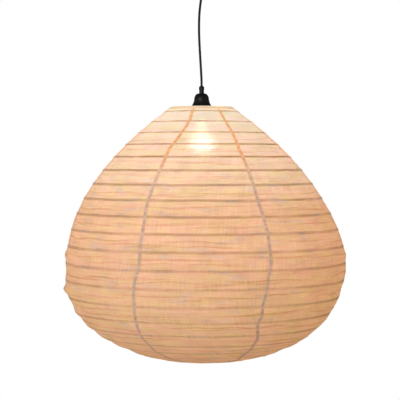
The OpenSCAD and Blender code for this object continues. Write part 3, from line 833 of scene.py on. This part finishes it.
    def folds(self, az: np.ndarray, way: np.ndarray) -> tuple[np.ndarray, np.ndarray]:
        """Creases between the hoops.

        Args:
            az: angles.
            way: ways along the skin.

        Returns:
            Height in millimetres, and how deep the painted shade in the crease is, from 0 to 1.
        """
        o = self.outline
        height, dark = np.zeros_like(way), np.zeros_like(way)
        radius, _ = o.at(way)
        middle_az = float(np.mean(az))
        half = float(np.ptp(az)) / 2
        for i, bay in enumerate(self.crease_bay):
            top = o.first_gap + (bay - 1) * o.pitch
            centre = top + self.crease_at[i] * o.pitch
            if centre < self.top_clear or centre > o.length - self.mouth_clear:
                continue
            r_here = float(o.at(centre)[0])
            span = self.crease_len[i] / r_here
            gap = (self.crease_az[i] - middle_az + math.pi) % (2 * math.pi) - math.pi
            if abs(gap) > half + span:
                continue
            rows = np.abs(way - centre) < self.crease_reach
            x = ((az[rows] - self.crease_az[i] + math.pi) % (2 * math.pi) - math.pi) * radius[rows]
            line = centre + self.crease_slope[i] * x + self.crease_sway[i] * np.sin(
                2 * math.pi * x / self.crease_wave[i] + self.crease_phase[i])
            window = np.exp(-((x / (0.5 * self.crease_len[i])) ** 4))
            q = (way[rows] - line) / self.crease_wide[i]
            slack = np.interp(centre, (0, 60, 120, 300, 480), (0.1, 0.3, 0.6, 0.8, 1.0))
            strength = self.crease_deep[i] * slack
            height[rows] += window * strength * (-0.9 * np.exp(-(q**2)) + 0.6 * np.exp(-((q - 1.7) ** 2)))
            # painted shade in the crease's fold
            dark[rows] = np.maximum(dark[rows], window * strength * np.exp(-((q / 0.62) ** 2)))
        off = (way - o.first_gap + o.pitch / 2) % o.pitch - o.pitch / 2
        clear = 1 - np.exp(-((off / 3.5) ** 2))
        return height * clear, dark * clear

    def bumps(self, az: np.ndarray, way: np.ndarray) -> np.ndarray:
        """A few larger bags, each by its angle, way, height, half width and half length."""
        out = np.zeros_like(way)
        for angle, centre, high, wide, long in self.bags:
            turn = (np.degrees(az) - angle + 180) % 360 - 180
            out += high * np.exp(-((turn / wide) ** 2) - ((way - centre) / long) ** 2)
        return out

    def seam_pinch(self, az: np.ndarray, way: np.ndarray) -> np.ndarray:
        """How far the cloth is drawn in beside the seams."""
        radius, _ = self.outline.at(way)
        out = np.zeros_like(way)
        for number in range(1, self.gores + 1):
            off = ((az - self.seam_angle(number, way) + math.pi) % (2 * math.pi) - math.pi) * radius
            out -= 0.5 * np.exp(-((off / 5.0) ** 2))
        return out

    def surface(self, az: np.ndarray, way: np.ndarray,
                lift: float | np.ndarray = 0.0) -> tuple[np.ndarray, dict[str, np.ndarray]]:
        """Points of the cloth and what its finish reads.

        Args:
            az: angles about the upright axis.
            way: ways along the skin.
            lift: height above the cloth.

        Returns:
            Points in metres, and the painted glow of the bulb's light and the painted crease shade at each.
        """
        o = self.outline
        radius, height = o.at(way)
        out_r, out_z = o.outward(way)
        raised, dark = self.folds(az, way)
        edge = np.clip(np.minimum(way, o.length - way) / self.still_edge, 0, 1)
        depth = (self.puffs(az, way) + raised + self.bumps(az, way)) * edge + self.hoop_ridge(way) * edge
        depth = depth + self.seam_pinch(az, way) * edge + lift
        r, z = radius + depth * out_r, height + depth * out_z
        points = np.stack([(r * np.cos(az) + self.sideways(way)), r * np.sin(az), z + o.rim_z], -1) * MM
        # painted light: the glow falls off with distance from the bulb
        away = np.hypot(radius, height + o.rim_z - self.bulb_z)
        glow = np.interp(away, (self.near_bulb, self.far_from_bulb), (1.0, 0.0))
        return points, {"glow": glow, "crease": np.clip(dark, 0, 1)}


@dataclass
class Shade:
    """Gores, seams, hems, stitching, hoops, rings and spider."""

    skin: Skin = field(default_factory=Skin)
    columns: int = 76
    rows: int = 480
    seam_w: float = 6.0
    hem_w: float = 14.0
    wire_d: float = 2.0
    hoop_depth: float = 2.3
    ring_d: float = 3.0
    ring_way: float = 3.0
    keep: float = 0.15
    first_stitched: int = 4
    stitch_pitch: float = 4.4
    stitch_reach: float = 2.3
    thread_r: float = 0.28
    hem_steps: int = 280
    hem_lift: float = 0.45
    rim_strip: float = 0.0155
    mouth_strip: float = 0.033
    sleeve_len: float = 16.0
    sleeve_step: float = 137.0

    def finish(self, name: str, **changes: object) -> bpy.types.Material:
        """A cloth finish on this shade's hoops."""
        o = self.skin.outline
        return ClothFinish(name, o.first_gap * MM, o.pitch * MM, **changes).build()

    def folds_with_shade(self, piece: bpy.types.Object) -> None:
        """Let a piece ride on the pendant, with its own copy of its mesh."""
        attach(piece, Body.PENDANT.value)
        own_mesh(piece)

    def gore(self, number: int, finish: bpy.types.Material) -> bpy.types.Object:
        """Sew one gore.

        Args:
            number: its number, from 1.
            finish: its cloth.

        Returns:
            The gore.
        """
        o = self.skin.outline
        way = np.linspace(0, o.length, self.rows)[:, None] * np.ones((1, self.columns))
        share = np.linspace(0, 1, self.columns)[None, :] * np.ones((self.rows, 1))
        first, last = self.skin.seam_angle(number, way), self.skin.seam_angle(number + 1, way)
        if number == self.skin.gores:
            last = self.skin.seam_angle(1, way) + 2 * math.pi
        az = first + share * (last - first)
        points, marks = self.skin.surface(az, way)
        faces = [tuple(reversed(f)) for f in grid_faces(self.rows, self.columns)]
        piece = new_piece(f"cloth_gore_{number}", points.reshape(-1, 3), faces)
        radius, _ = o.at(way)
        set_uv(piece, ((az - first.mean()) * radius + 400.0 * number) * MM, way * MM)
        for name, values in marks.items():
            set_attribute(piece, name, values)
        # painted shade: the seam allowance doubles the cloth along the gore's edges
        inside = np.minimum(share, 1 - share) * (last - first) * radius
        set_attribute(piece, "layers", 0.5 * np.exp(-((inside / 2.4) ** 4)))
        dress(piece, finish)
        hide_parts(f"gore_{number}")
        self.folds_with_shade(piece)
        return piece

    def seam(self, number: int, finish: bpy.types.Material) -> bpy.types.Object:
        """Lay the folded seam on a gore's first edge.

        Args:
            number: the gore's number, from 1.
            finish: its cloth.

        Returns:
            The seam.
        """
        o = self.skin.outline
        ways = np.linspace(self.hem_w * 0.6, o.length - self.hem_w * 0.6, self.rows)
        across = np.array((-0.5, -0.42, -0.16, 0.16, 0.42, 0.5)) * self.seam_w
        lifts = (0.0, 0.42, 0.28, 0.34, 0.46, 0.0)
        way = ways[:, None] * np.ones((1, len(across)))
        radius, _ = o.at(way)
        slim = np.interp(way, (0, 200, 420, 560), (1.4, 1.55, 1.55, 1.4))
        az = self.skin.seam_angle(number, way) + slim * across[None, :] / radius
        pucker = 1 + 0.25 * np.sin(way / 2.9 + number)
        points = np.zeros((*way.shape, 3))
        for k, lift in enumerate(lifts):
            points[:, k], _ = self.skin.surface(az[:, k], way[:, k], lift * pucker[:, k])
        _, marks = self.skin.surface(az, way)
        faces = [tuple(reversed(f)) for f in grid_faces(len(ways), len(across))]
        piece = new_piece(f"seam_{number}", points.reshape(-1, 3), faces)
        set_uv(piece, (across[None, :] + 0 * way + 50 * number) * MM, way * MM)
        # painted light: the seam glows a little less than the gore
        set_attribute(piece, "glow", marks["glow"] - 0.05)
        set_attribute(piece, "crease", marks["crease"] * 0.5)
        # painted shade on the seam's folded layers
        ridge = np.array((0.4, 0.1, 0.25, 0.25, 0.1, 0.4))[None, :] + 0.3 * np.sin(way / 3.1) ** 3
        set_attribute(piece, "layers", np.clip(ridge, 0, 1))
        dress(piece, finish)
        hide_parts("seam_tapes")
        self.folds_with_shade(piece)
        return piece

    def hem(self, name: str, profile: np.ndarray, way_of: np.ndarray,
            finish: bpy.types.Material) -> bpy.types.Object:
        """Turn a hem's profile all round.

        Args:
            name: the piece's name.
            profile: radius and height above the rim, in millimetres.
            way_of: way along the skin that each point lies at.
            finish: its cloth.

        Returns:
            The hem.
        """
        steps = self.hem_steps
        az = np.arange(steps) * 2 * math.pi / steps
        way = way_of[:, None] * np.ones((1, steps))
        turn = az[None, :] * np.ones((len(profile), 1))
        gather = 0.22 * np.sin(63 * turn) + 0.16 * np.sin(101 * turn + 1.0)
        r = profile[:, 0][:, None] + gather * 0.6
        z = profile[:, 1][:, None] + self.skin.outline.rim_z + gather * 0.5
        x = r * np.cos(turn) + self.skin.sideways(way)
        points = np.stack([x, r * np.sin(turn), z], -1) * MM
        faces = [tuple(reversed(f)) for f in grid_faces(len(profile), steps, closed_columns=True)]
        piece = new_piece(name, points.reshape(-1, 3), faces)
        run = np.concatenate([[0], np.cumsum(np.linalg.norm(np.diff(profile, axis=0), axis=1))])
        set_uv(piece, turn * r * MM, run[:, None] * MM + 0 * turn)
        _, marks = self.skin.surface(turn, way)
        # painted light: the hem glows a little less than the gores
        set_attribute(piece, "glow", marks["glow"] - 0.06)
        set_attribute(piece, "crease", 0 * turn)
        # painted shade in the hem's doubled, gathered cloth
        set_attribute(piece, "layers", 0.25 + 0.2 * np.sin(63 * turn) ** 2)
        dress(piece, finish)
        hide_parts("hem_bands")
        return piece

    def hems(self, finish: bpy.types.Material) -> list[bpy.types.Object]:
        """Hem the rim over the top ring and the mouth round the bottom ring.

        Args:
            finish: their cloth.

        Returns:
            The two hems.
        """
        o = self.skin.outline
        cover = self.ring_d / 2 + 0.75

        def outside(ways: np.ndarray) -> np.ndarray:
            """Points just outside the skin."""
            r, z = o.at(ways)
            out_r, out_z = o.outward(ways)
            return np.stack([r + self.hem_lift * out_r, z + self.hem_lift * out_z], 1)

        ring_r, ring_z = self.ring_place(self.ring_way)
        out_r, out_z = (float(v) for v in o.outward(self.ring_way))
        start = math.atan2(out_z, out_r)
        angles = np.linspace(start, math.radians(118), 8)
        over = np.stack([ring_r + cover * np.cos(angles), ring_z + cover * np.sin(angles)], 1)
        ways = np.linspace(self.hem_w, self.ring_way + 0.6, 6)
        rim = self.hem("hem_rim", np.concatenate([outside(ways), over]),
                       np.concatenate([ways, np.full(len(over), 2.0)]), finish)
        self.folds_with_shade(rim)
        ring_r, ring_z = self.ring_place(o.length)
        angles = np.radians(np.linspace(-90, -270, 12))
        wrap = np.stack([ring_r + cover * np.cos(angles), ring_z + cover * np.sin(angles)], 1)
        ways = np.linspace(o.length - self.hem_w, o.length - 0.5, 6)
        inner = np.stack([np.linspace(ring_r + 3, ring_r + self.hem_w, 4),
                          np.linspace(ring_z + cover - 0.2, ring_z + cover + 0.7, 4)], 1)
        profile = np.concatenate([outside(ways), wrap, inner])
        mouth_ways = np.concatenate([ways, np.full(len(wrap) + len(inner), o.length)])
        mouth = self.hem("hem_mouth", profile, mouth_ways, finish)
        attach(mouth, Body.BOTTOM_RING.value)
        return [rim, mouth]

    def ring_place(self, way: float) -> tuple[float, float]:
        """Radius and height above the rim of the wire inside a way of the skin."""
        o = self.skin.outline
        r, z = (float(v) for v in o.at(way))
        out_r, out_z = (float(v) for v in o.outward(way))
        return r - self.hoop_depth * out_r, z - self.hoop_depth * out_z

    def stitching(self, number: int, finish: bpy.types.Material) -> bpy.types.Object:
        """Sew a zigzag over a hoop.

        Args:
            number: the hoop's number, from 1.
            finish: the thread.

        Returns:
            The hoop's stitches.
        """
        o = self.skin.outline
        sides = 3
        middle = o.hoop_way(number)
        count = 2 * int(math.pi * float(o.at(middle)[0]) / self.stitch_pitch)
        az = np.arange(count) * 2 * math.pi / count
        way = middle + np.where(np.arange(count) % 2 == 0, self.stitch_reach, -self.stitch_reach)
        line, _ = self.skin.surface(az, way, 0.12)
        ahead = np.roll(line, -1, 0) - np.roll(line, 1, 0)
        ahead /= np.linalg.norm(ahead, axis=1)[:, None]
        out_r, out_z = o.outward(way)
        out = np.stack([out_r * np.cos(az), out_r * np.sin(az), out_z * np.ones(count)], 1)
        side = np.cross(ahead, out)
        ring = [line + self.thread_r * MM * (math.cos(a) * out + math.sin(a) * side)
                for a in np.arange(sides) * 2 * math.pi / sides]
        faces = grid_faces(count, sides, closed_rows=True, closed_columns=True)
        piece = new_piece(f"stitches_{number:02d}", np.stack(ring, 1).reshape(-1, 3), faces)
        dress(piece, finish)
        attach(piece, f"hoop_{number:02d}")
        return piece

    def sleeve(self) -> bpy.types.Object:
        """Model the crimped sleeve that closes a hoop, lying along Y at the origin.

        Returns:
            The sleeve, to be copied.
        """
        bpy.ops.object.select_all(action="DESELECT")
        bpy.ops.mesh.primitive_cylinder_add(vertices=16, radius=1.5 * MM, depth=self.sleeve_len * MM,
                                            rotation=(math.pi / 2, 0, 0))
        piece = bpy.context.active_object
        bpy.ops.object.transform_apply(location=True, rotation=True, scale=True)
        bpy.ops.object.mode_set(mode="EDIT")
        for place in (-5.4, -4.2, -3.0, -0.9, 0.0, 0.9, 3.0, 4.2, 5.4):
            bpy.ops.mesh.select_all(action="SELECT")
            bpy.ops.mesh.bisect(plane_co=(0, place * MM, 0), plane_no=(0, 1, 0))
        for place in (-4.2, 0.0, 4.2):
            self.select_ring(piece, place * MM)
            bpy.ops.transform.resize(value=(0.84, 1, 0.84))
        for end in (-self.sleeve_len / 2, self.sleeve_len / 2):
            self.select_ring(piece, end * MM)
            bpy.ops.mesh.bevel(offset=0.3 * MM, segments=2)
        bpy.ops.object.mode_set(mode="OBJECT")
        only(piece)
        bpy.ops.object.shade_smooth_by_angle(angle=math.radians(40))
        return piece

    @staticmethod
    def select_ring(piece: bpy.types.Object, y: float) -> None:
        """Select the edges of a piece in edit mode that lie at one place along Y."""
        mesh = bmesh.from_edit_mesh(piece.data)
        bpy.ops.mesh.select_all(action="DESELECT")
        for edge in mesh.edges:
            edge.select_set(all(abs(v.co.y - y) < 0.05 * MM for v in edge.verts))
        bmesh.update_edit_mesh(piece.data)

    def hoop(self, number: int, sleeve: bpy.types.Object, finish: bpy.types.Material) -> bpy.types.Object:
        """Bend one hoop of wire and close it.

        Args:
            number: its number, from 1.
            sleeve: the sleeve to copy.
            finish: its coating.

        Returns:
            The hoop.
        """
        o = self.skin.outline
        way = o.hoop_way(number)
        radius, height = self.ring_place(way)
        middle = Vector((float(self.skin.sideways(way)), 0, height + o.rim_z)) * MM
        bpy.ops.object.select_all(action="DESELECT")
        bpy.ops.mesh.primitive_torus_add(major_segments=144, minor_segments=8, location=middle,
                                         major_radius=radius * MM, minor_radius=self.wire_d / 2 * MM)
        wire = bpy.context.active_object
        bpy.ops.object.shade_smooth()
        closing = sleeve.copy()
        closing.data = sleeve.data.copy()
        bpy.context.scene.collection.objects.link(closing)
        turn = math.radians(number * self.sleeve_step + math.degrees(self.sleeve_len / 2 / radius))
        closing.data.transform(Matrix.Translation(middle) @ Matrix.Rotation(turn, 4, "Z")
                               @ Matrix.Translation((radius * MM, 0, 0)))
        bpy.ops.object.select_all(action="DESELECT")
        closing.select_set(True)
        wire.select_set(True)
        bpy.context.view_layer.objects.active = wire
        bpy.ops.object.transform_apply(location=True, rotation=True, scale=True)
        bpy.ops.object.join()
        wire.name = f"wire_hoop_{number:02d}"
        dress(wire, finish)
        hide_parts(f"hoop_{number:02d}")
        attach(wire, f"hoop_{number:02d}")
        return wire

    def build(self) -> None:
        """Make the whole shade."""
        o = self.skin.outline
        cloth = self.finish("lit_cloth")
        seam_cloth = self.finish("lit_seam", upper_tint=(0.94, 0.70, 0.50), lower_tint=(0.74, 0.84, 1.04),
                                 hoop_lines=False)
        hem_cloth = self.finish("lit_hem", upper_tint=(1.0, 0.95, 0.86), lower_tint=(0.9, 0.86, 0.8),
                                hoop_lines=False)
        coated = SolidFinish("white_coated_wire", (0.66, 0.62, 0.53), (0.78, 0.75, 0.67),
                             (0.35, 0.55)).build()
        thread = SolidFinish("sewing_thread", (0.34, 0.24, 0.14), (0.48, 0.36, 0.22), (0.7, 0.9),
                             grain_scale=2500.0).build()
        for number in range(1, self.skin.gores + 1):
            seam = self.seam(number, seam_cloth)
            piece = self.gore(number, cloth)
            LOG.info("%s: %d faces, with %s", piece.name, len(piece.data.polygons), seam.name)
        for piece in self.hems(hem_cloth):
            LOG.info("%s: %d faces", piece.name, len(piece.data.polygons))
        for number in range(self.first_stitched, o.hoops + 1):
            stitches = self.stitching(number, thread)
            LOG.info("%s: %d faces", stitches.name, len(stitches.data.polygons))
        sleeve = self.sleeve()
        for number in range(1, o.hoops + 1):
            self.hoop(number, sleeve, coated)
        bpy.data.objects.remove(sleeve)
        LOG.info("%d hoops", o.hoops)
        dress_nodes(coated, ["top_ring", "bottom_ring", "spider"])


# --- Cord, holder, bulb and ceiling fitting -------------------------------------------------


@dataclass
class HangingCord:
    """The cord from the gland's mouth down into the grip, and its cores."""

    diameter: float = 5.8
    core_d: float = 2.0
    sides: int = 20
    route: tuple[tuple[float, float, float], ...] = (
        (0, 0, -61.8), (-0.5, 0, -70), (-1.8, 0, -80), (-3.8, 0, -95), (-5.6, 0, -115), (-6.4, 0, -140),
        (-6.2, 0, -165), (-5.2, 0, -190), (-3.8, 0, -215), (-2.3, 0, -240), (-1, 0, -262), (-0.2, 0, -280),
        (0, 0, -292), (0, 0, -304), (0, 0, -316))
    tail: tuple[tuple[float, float, float], ...] = (
        (0, 0, -59.1), (0, 0, -54), (0, 0, -48), (0, 0, -42), (0, 0, -38), (0, 0, -34))

    def sheath(self) -> bpy.types.Material:
        """Smooth black sheath with faint ribs along it.

        Returns:
            The material.
        """
        g = Graph("black_sheath")
        at = g.add("ShaderNodeSeparateXYZ")
        g.put(g.add("ShaderNodeTexCoord").outputs["UV"], at.inputs[0])
        ribs = g.maths("PINGPONG", at.outputs["X"], 0.0006)
        smear = g.noise(g.place(Source.UV, (300, 60, 1)), 1.0, 3.0)
        g.set(Base_Color=g.ramp(smear, [(0.3, (0.006, 0.006, 0.0065)), (0.7, (0.013, 0.013, 0.0135))]),
              Roughness=g.span(smear, 0.3, 0.7, 0.42, 0.6))
        g.bump(g.maths("MULTIPLY", ribs, 1500.0), 0.25, 0.05 * MM)
        return g.material

    def build(self) -> None:
        """Make the cord and its tail, and give the cord's bend the sheath."""
        line = spline_through(self.route, 6) * MM
        radius = np.full(len(line), self.diameter / 2 * MM)
        cord = tube_along("hanging_cord", line, radius, self.sides)
        sheath = self.sheath()
        dress(cord, sheath)
        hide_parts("cord")
        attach(cord, Body.PENDANT.value)
        line = spline_through(self.tail, 3) * MM
        radius = np.full(len(line), self.diameter / 2 * MM)
        radius[-1] *= 0.86
        tail = tube_along("cord_tail_sheath", line, radius, self.sides)
        dress(tail, sheath)
        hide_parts("cord_tail")
        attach(tail, Body.CEILING.value)
        dress_nodes(sheath, ["cord_bend"])

    def cores(self, name: str, node: str, body: Body, routes: Sequence[Sequence[Sequence[float]]]) -> None:
        """Make a pair of cores.

        Args:
            name: start of the pieces' names.
            node: the CAD node that they replace.
            body: what they ride on.
            routes: each core's points, in millimetres.
        """
        sleeves = (SolidFinish(f"{name}_blue", (0.02, 0.09, 0.42), (0.03, 0.13, 0.5), (0.35, 0.5)).build(),
                   SolidFinish(f"{name}_brown", (0.13, 0.05, 0.02), (0.18, 0.08, 0.03), (0.35, 0.5)).build())
        for route, colour, sleeve in zip(routes, ("blue", "brown"), sleeves):
            line = spline_through(route, 6) * MM
            radius = np.full(len(line), self.core_d / 2 * MM)
            radius[-1] *= 0.8
            piece = tube_along(f"{name}_{colour}", line, radius, 14)
            dress(piece, sleeve)
            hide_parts(node)
            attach(piece, body.value)
            LOG.info("%s", piece.name)

    def build_cores(self) -> None:
        """Make the cores in the canopy and in the holder."""
        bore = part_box("terminal_block")[0].z / MM + 5
        side_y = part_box("terminal_block")[0].y / MM
        top = [[(s * 1.4, 0, -33.7), (s * 1.4, 0, -32.5), (s * 2.5, -1, -30), (s * 6, -6, -26),
                (s * 10, side_y - 4.5, bore - 7), (s * 10, side_y - 4, bore - 2), (s * 10, side_y, bore),
                (s * 10, side_y + 5, bore)] for s in (-1, 1)]
        self.cores("canopy_core", "canopy_wires", Body.CEILING, top)
        stub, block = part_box("cord_grip")[0].z / MM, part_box("contact_block")[1].z / MM
        low = [[(s * 1.4, 0, -316.05), (s * 1.4, 0, stub), (s * 3, 2.5, stub - 6), (s * 5, 5, block + 4),
                (s * 5, 5, block - 4.6)] for s in (-1, 1)]
        self.cores("holder_core", "holder_wires", Body.PENDANT, low)


@dataclass
class Hardware:
    """Finishes of the CAD nodes that keep their shape."""

    gloss: float = 0.05

    def dress(self) -> None:
        """Give every hard node its finish."""
        moulded = SolidFinish("moulded_black", (0.006, 0.006, 0.0065), (0.012, 0.012, 0.0125), (0.42, 0.55),
                              grain_scale=900.0, grain_depth=0.02, coat=self.gloss)
        painted = SolidFinish("black_paint", (0.008, 0.008, 0.009), (0.014, 0.014, 0.015), (0.38, 0.5),
                              grain_scale=1400.0, grain_depth=0.04)
        zinc = SolidFinish("zinc_plate", (0.50, 0.51, 0.53), (0.62, 0.63, 0.64), (0.28, 0.5), metallic=1.0,
                           grain=(1, 8, 8), grain_scale=300.0)
        screw = SolidFinish("plated_screw", (0.30, 0.30, 0.31), (0.42, 0.42, 0.43), (0.3, 0.5), metallic=1.0)
        blacked = SolidFinish("blackened_screw", (0.010, 0.010, 0.011), (0.02, 0.02, 0.021), (0.5, 0.62))
        brass = SolidFinish("pressed_brass", (0.62, 0.42, 0.15), (0.74, 0.54, 0.24), (0.25, 0.45),
                            metallic=1.0)
        stone = SolidFinish("pale_ceramic", (0.72, 0.69, 0.62), (0.8, 0.78, 0.72), (0.5, 0.7),
                            grain_scale=700.0)
        milky = SolidFinish("milky_plastic", (0.74, 0.74, 0.70), (0.82, 0.82, 0.79), (0.35, 0.5))
        rolled = SolidFinish("rolled_cap", (0.72, 0.72, 0.72), (0.84, 0.84, 0.85), (0.22, 0.4), metallic=1.0,
                             grain=(1, 1, 12), grain_scale=200.0)
        base = SolidFinish("black_glass", (0.01, 0.008, 0.014), (0.03, 0.024, 0.04), (0.12, 0.25))
        for finish, names in (
                (moulded, ["bell_cover", "cord_grip", "holder_cap", "holder_skirt", "shade_ring",
                           "gland_body"]),
                (painted, ["canopy"]), (zinc, ["ceiling_bracket", "gland_nut"]),
                (screw, ["canopy_screws", "terminal_screws"]), (blacked, ["grip_screw"]),
                (brass, ["centre_contact", "side_contact", "thread_shell"]), (stone, ["contact_block"]),
                (milky, ["terminal_block"]), (rolled, ["bulb_cap", "bulb_tip"]), (base, ["bulb_insulator"]),
                (BulbFinish(), ["bulb_glass"]), (FilamentFinish(), ["bulb_filament"])):
            dress_nodes(finish.build(), names)
            LOG.info("%s on %s", finish.name, ", ".join(names))


def main() -> None:
    """Build the studio first, then every sub-assembly."""
    logging.basicConfig(level=logging.INFO, format="%(name)s: %(message)s")
    studio = Studio()
    studio.place_camera()
    cord = HangingCord()
    cord.build()
    cord.build_cores()
    Hardware().dress()
    Shade().build()
    studio.light()
    studio.lay_floor()
    bpy.ops.object.select_all(action="DESELECT")


if __name__ == "__main__":
    main()
